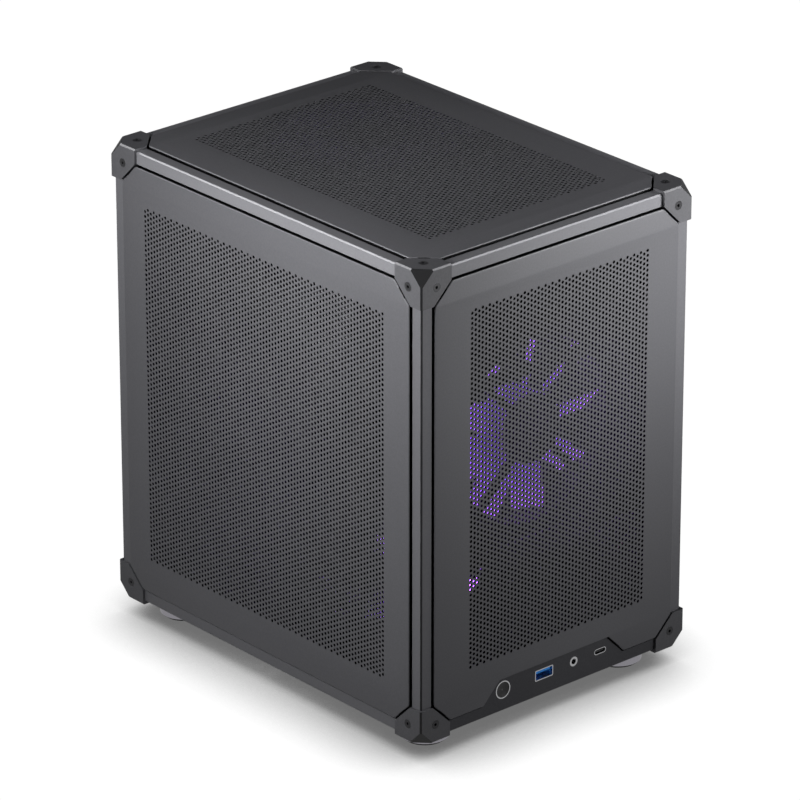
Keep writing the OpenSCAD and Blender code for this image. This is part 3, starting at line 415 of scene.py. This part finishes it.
def hole_field(name, pitch, columns, rows, sides, centre):
    step = pitch * cos(pi / 6)
    bpy.ops.object.select_all(action="DESELECT")
    bpy.ops.mesh.primitive_circle_add(vertices=6, radius=pitch / sqrt(3.0), fill_type="NOTHING",
                                      rotation=(0.0, 0.0, pi / 6))
    field = bpy.context.active_object
    field.name = name
    bpy.ops.object.transform_apply(location=True, rotation=True, scale=True)
    bpy.ops.object.mode_set(mode="EDIT")
    bpy.ops.mesh.primitive_circle_add(vertices=sides, radius=hole_r, fill_type="NOTHING")
    bpy.ops.mesh.select_all(action="SELECT")
    bpy.ops.mesh.bridge_edge_loops()
    bpy.ops.mesh.select_all(action="DESELECT")
    bpy.ops.object.mode_set(mode="OBJECT")
    if field.data.polygons[0].normal.z < 0.0:
        bpy.ops.object.mode_set(mode="EDIT")
        bpy.ops.mesh.select_all(action="SELECT")
        bpy.ops.mesh.flip_normals()
        bpy.ops.mesh.select_all(action="DESELECT")
        bpy.ops.object.mode_set(mode="OBJECT")
    inner = {v.index for v in field.data.vertices if v.co.xy.length < hole_r * 1.01}
    for e in field.data.edges:
        e.select = e.vertices[0] in inner and e.vertices[1] in inner
    for v in field.data.vertices:
        v.select = v.index in inner
    bpy.ops.object.mode_set(mode="EDIT")
    bpy.ops.mesh.select_mode(type="EDGE")
    bpy.ops.mesh.extrude_region_move(TRANSFORM_OT_translate={"value": (0.0, 0.0, -sheet)})
    bpy.ops.object.mode_set(mode="OBJECT")
    for count, offset in ((2, (step, pitch / 2, 0.0)), (rows, (0.0, pitch, 0.0)),
                          (columns // 2, (2.0 * step, 0.0, 0.0))):
        array = field.modifiers.new("repeat", "ARRAY")
        array.count = count
        array.use_relative_offset = False
        array.use_constant_offset = True
        array.constant_offset_displace = offset
    apply_all(field)
    bpy.ops.object.mode_set(mode="EDIT")
    bpy.ops.mesh.select_all(action="SELECT")
    bpy.ops.mesh.remove_doubles(threshold=0.00002)
    bpy.ops.mesh.select_all(action="DESELECT")
    bpy.ops.object.mode_set(mode="OBJECT")
    field.location = (centre[0] - (columns - 1) * step / 2,
                      centre[1] - ((rows - 1) * pitch + pitch / 2) / 2, proud)
    bpy.ops.object.transform_apply(location=True, rotation=True, scale=True)
    return field


def pan_rim(name, width, height, notch):
    """The pan's rounded edge: an octagonal slab, its face edge rounded and its middle open."""
    bpy.ops.object.select_all(action="DESELECT")
    bpy.ops.mesh.primitive_plane_add(size=1.0, location=(0.0, 0.0, rim_low))
    rim = bpy.context.active_object
    rim.name = name
    rim.scale = (width - 2 * rim_edge, height - 2 * rim_edge, 1.0)
    bpy.ops.object.transform_apply(location=True, rotation=True, scale=True)
    bpy.ops.object.mode_set(mode="EDIT")
    bpy.ops.mesh.select_all(action="SELECT")
    bpy.ops.mesh.bevel(offset=rim_leg * 1.0, segments=1, affect="VERTICES")
    bpy.ops.mesh.select_all(action="SELECT")
    bpy.ops.mesh.bevel(offset=0.0012, segments=3, affect="VERTICES")
    bpy.ops.mesh.select_all(action="SELECT")
    bpy.ops.mesh.extrude_region_move(
        TRANSFORM_OT_translate={"value": (0.0, 0.0, proud - rim_low)})
    bpy.ops.mesh.select_all(action="SELECT")
    bpy.ops.mesh.normals_make_consistent(inside=False)
    bpy.ops.object.mode_set(mode="OBJECT")
    if notch:
        top, half = notch
        bpy.ops.object.select_all(action="DESELECT")
        bpy.ops.mesh.primitive_cube_add(size=1.0, location=(0.0, 0.0, 0.0))
        cutter = bpy.context.active_object
        for v in cutter.data.vertices:
            upper = v.co.y > 0.0
            v.co.y = -height / 2 + (top if upper else 0.0)
            v.co.x = (half if upper else half + top) * (1.0 if v.co.x > 0.0 else -1.0)
            v.co.z = 0.02 if v.co.z > 0.0 else -0.02
        cut = rim.modifiers.new("notch", "BOOLEAN")
        cut.operation = "DIFFERENCE"
        cut.object = cutter
        cut.solver = "EXACT"
        apply_all(rim)
        bpy.data.objects.remove(cutter, do_unlink=True)
        only(rim)
    for v in rim.data.vertices:
        v.select = False
    for p in rim.data.polygons:
        p.select = False
    for e in rim.data.edges:
        a, b = (rim.data.vertices[i].co.z for i in e.vertices)
        e.select = a > proud - 1e-6 and b > proud - 1e-6
    bpy.ops.object.mode_set(mode="EDIT")
    bpy.ops.mesh.select_mode(type="EDGE")
    bpy.ops.mesh.bevel(offset=0.0007, segments=4, affect="EDGES")
    bpy.ops.mesh.select_all(action="DESELECT")
    bpy.ops.object.mode_set(mode="OBJECT")
    for p in rim.data.polygons:
        p.select = p.normal.z > 0.99 and p.center.z > proud - 1e-5 or p.normal.z < -0.99
    bpy.ops.object.mode_set(mode="EDIT")
    bpy.ops.mesh.select_mode(type="FACE")
    bpy.ops.mesh.delete(type="FACE")
    bpy.ops.mesh.select_all(action="DESELECT")
    bpy.ops.object.mode_set(mode="OBJECT")
    return rim


def snap_stud(x, y):
    """A turned stud with a ball end, below the pan."""
    bpy.ops.object.select_all(action="DESELECT")
    bpy.ops.mesh.primitive_uv_sphere_add(segments=16, ring_count=10, radius=0.0014,
                                         location=(x, y, -0.0091))
    ball = bpy.context.active_object
    bpy.ops.object.select_all(action="DESELECT")
    bpy.ops.mesh.primitive_cylinder_add(vertices=16, radius=0.001, depth=0.0096,
                                        location=(x, y, -0.0042))
    neck = bpy.context.active_object
    ball.select_set(True)
    neck.select_set(True)
    bpy.context.view_layer.objects.active = ball
    bpy.ops.object.join()
    return ball


def perforated_panel(name, size, pattern, centre, sides, studs, place, turn, notch=None):
    rim = pan_rim(name + "_shell", size[0], size[1], notch)
    field = hole_field(name + "_field", pattern[0], pattern[1], pattern[2], sides, centre)
    # The field's wall ends stay open: only edges that lie in the face are joined
    bpy.ops.object.select_all(action="DESELECT")
    rim.select_set(True)
    field.select_set(True)
    bpy.context.view_layer.objects.active = rim
    bpy.ops.object.join()
    mesh = rim.data
    uses = {}
    for p in mesh.polygons:
        for k in p.edge_keys:
            uses[k] = uses.get(k, 0) + 1
    for v in mesh.vertices:
        v.select = False
    for p in mesh.polygons:
        p.select = False
    flat = {v.index for v in mesh.vertices if v.co.z > proud - 1e-5}
    for e in mesh.edges:
        e.select = uses.get(e.key, 0) == 1 and e.vertices[0] in flat and e.vertices[1] in flat
    bpy.ops.object.mode_set(mode="EDIT")
    bpy.ops.mesh.select_mode(type="EDGE")
    bpy.ops.mesh.fill(use_beauty=False)
    bpy.ops.object.mode_set(mode="OBJECT")
    wrong = [p for p in mesh.polygons if p.normal.z < -0.99 and p.center.z > proud - 1e-5]
    if wrong:
        bpy.ops.object.mode_set(mode="EDIT")
        bpy.ops.mesh.select_all(action="DESELECT")
        bpy.ops.object.mode_set(mode="OBJECT")
        for p in mesh.polygons:
            p.select = p.normal.z < -0.99 and p.center.z > proud - 1e-5
        bpy.ops.object.mode_set(mode="EDIT")
        bpy.ops.mesh.select_mode(type="FACE")
        bpy.ops.mesh.flip_normals()
        bpy.ops.object.mode_set(mode="OBJECT")
    balls = [snap_stud(x, y) for x in (-studs[0], studs[0]) for y in (-studs[1], studs[1])]
    bpy.ops.object.select_all(action="DESELECT")
    for b in balls + [rim]:
        b.select_set(True)
    bpy.context.view_layer.objects.active = rim
    bpy.ops.object.join()
    rim.location = place
    rim.rotation_euler = turn
    bpy.ops.object.transform_apply(location=True, rotation=True, scale=True)
    bpy.ops.object.shade_smooth_by_angle(angle=radians(25.0))
    rim.data.materials.clear()
    rim.data.materials.append(panel_paint)
    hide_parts(name)
    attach(rim, name)
    return rim


case_w, case_d, case_h, drop = 0.204, 0.270, 0.289, 0.0133
side_pattern = (0.00306, 80, 74)
perforated_panel("left_panel", (case_d, case_h), side_pattern, (-0.0006, -0.0005), 8,
                 (case_d / 2 - 0.0132, case_h / 2 - 0.048),
                 (-case_w / 2, 0.0, drop + case_h / 2), (pi / 2, 0.0, -pi / 2))
perforated_panel("right_panel", (case_d, case_h), side_pattern, (0.0006, -0.0005), 8,
                 (case_d / 2 - 0.0132, case_h / 2 - 0.048),
                 (case_w / 2, 0.0, drop + case_h / 2), (pi / 2, 0.0, pi / 2))
perforated_panel("front_panel", (case_w, case_h), (0.003045, 52, 73), (0.0014, 0.0033), 12,
                 (case_w / 2 - 0.0132, case_h / 2 - 0.048),
                 (0.0, -case_d / 2, drop + case_h / 2), (pi / 2, 0.0, 0.0),
                 notch=(0.0213, 0.0428))
perforated_panel("top_panel", (case_w, case_d), (0.003045, 52, 68), (0.0015, 0.002), 12,
                 (case_w / 2 - 0.0132, case_d / 2 - 0.048),
                 (0.0, 0.0, drop + case_h), (0.0, 0.0, 0.0))

# ---- Snap sockets: small black nylon barrels in the ledges behind the panels.
nylon = coated("black_nylon", (0.010, 0.010, 0.011), (0.020, 0.020, 0.021), 0.5, 0.0)
dress(nylon, "snap_sockets", "power_switch", "usb_c_tongue")

# ---- Inner sheets, tray and brackets: steel with a satin black coat.
inner_paint = coated("inner_coat", (0.016, 0.016, 0.018), (0.026, 0.026, 0.028), 0.45, 0.2)
dress(inner_paint, "rear_sheet", "bottom_sheet", "board_tray", "slot_cover_1", "slot_cover_2",
      "slot_cover_3", "slot_cover_4", "front_fan_bracket", "top_fan_plate")

# ---- Feet: turned and polished cups, with a rubber pad pressed into each.
foot_metal = bright_metal("polished_foot", (0.62, 0.60, 0.66), (30.0, 30.0, 2500.0), 0.14, 0.26,
                          dark_below=0.0018)
dress(foot_metal, "foot_front_left", "foot_front_right", "foot_rear_left", "foot_rear_right")
rubber = coated("pad_rubber", (0.012, 0.012, 0.012), (0.024, 0.024, 0.024), 0.8, 0.0,
                grain_scale=1500.0, depth=0.0001, spec=0.3)
dress(rubber, "foot_pads")

# ---- Front ports: plated shells and rings, a black button, a blue and a black tongue.
port_metal = bright_metal("port_plate", (0.82, 0.82, 0.84), (900.0, 900.0, 900.0), 0.16, 0.3)
dress(port_metal, "usb_a_shell", "usb_c_shell", "headphone_socket", "power_ring")
button_paint = coated("button_satin", (0.012, 0.012, 0.013), (0.020, 0.020, 0.021), 0.28, 0.0)
dress(button_paint, "power_button")
blue = coated("blue_nylon", (0.020, 0.26, 0.80), (0.030, 0.32, 0.90), 0.35, 0.0)
dress(blue, "usb_a_tongue")
board_green = coated("solder_mask", (0.008, 0.05, 0.02), (0.012, 0.07, 0.03), 0.35, 0.0)
dress(board_green, "port_board")
brass = bright_metal("turned_brass", (0.70, 0.52, 0.22), (2500.0, 30.0, 30.0), 0.25, 0.4)
dress(brass, "board_standoffs")

# ---- Fans: black frames with a moulded grain, and milky blades lit violet from the hub.
fan_plastic = coated("fan_frame_plastic", (0.010, 0.010, 0.012), (0.022, 0.022, 0.024), 0.5, 0.0)
dress(fan_plastic, "front_fan_frame", "top_fan_frame", "bottom_fan_frame")

glow, g_in, g_out = new_group(
    "light_from_hub",
    [("Centre", "NodeSocketVector", (0.0, 0.0, 0.0)), ("Across", "NodeSocketVector", (1.0, 1.0, 0.0)),
     ("Reach", "NodeSocketFloat", 0.06)],
    [("Glow", "NodeSocketFloat")])
coords = glow.nodes.new("ShaderNodeTexCoord")
away = glow.nodes.new("ShaderNodeVectorMath")
away.operation = "SUBTRACT"
across = glow.nodes.new("ShaderNodeVectorMath")
across.operation = "MULTIPLY"
length = glow.nodes.new("ShaderNodeVectorMath")
length.operation = "LENGTH"
share = glow.nodes.new("ShaderNodeMath")
share.operation = "DIVIDE"
glow.links.new(coords.outputs["Object"], away.inputs[0])
glow.links.new(g_in.outputs["Centre"], away.inputs[1])
glow.links.new(away.outputs["Vector"], across.inputs[0])
glow.links.new(g_in.outputs["Across"], across.inputs[1])
glow.links.new(across.outputs["Vector"], length.inputs[0])
glow.links.new(length.outputs["Value"], share.inputs[0])
glow.links.new(g_in.outputs["Reach"], share.inputs[1])
glow.links.new(share.outputs["Value"], g_out.inputs["Glow"])

for fan, centre, across_axis, reach, power in (
        ("front_fan_rotor", (0.0, -0.100, 0.1733), (1.0, 0.0, 1.0), 0.057, 4.5),
        ("top_fan_rotor", (0.0115, 0.036, 0.280), (1.0, 1.0, 0.0), 0.057, 4.5),
        ("bottom_fan_rotor", (-0.014, 0.012, 0.030), (1.0, 1.0, 0.0), 0.067, 14.0)):
    milky = bpy.data.materials.new(fan + "_milky")
    milky.use_nodes = True
    t = milky.node_tree
    s = t.nodes["Principled BSDF"]
    s.inputs["Roughness"].default_value = 0.35
    s.inputs["Base Color"].default_value = (0.42, 0.30, 0.75, 1.0)
    s.inputs["Emission Strength"].default_value = power
    light = t.nodes.new("ShaderNodeGroup")
    light.node_tree = glow
    light.inputs["Centre"].default_value = centre
    light.inputs["Across"].default_value = across_axis
    light.inputs["Reach"].default_value = reach
    fade = t.nodes.new("ShaderNodeValToRGB")
    fade.color_ramp.elements[0].position = 0.30
    fade.color_ramp.elements[0].color = (0.006, 0.004, 0.010, 1.0)
    fade.color_ramp.elements[1].position = 0.98
    fade.color_ramp.elements[1].color = (0.34, 0.10, 1.0, 1.0)
    middle = fade.color_ramp.elements.new(0.55)
    middle.color = (0.14, 0.04, 0.55, 1.0)
    t.links.new(light.outputs["Glow"], fade.inputs["Fac"])
    t.links.new(fade.outputs["Color"], s.inputs["Emission Color"])
    dress(milky, fan)
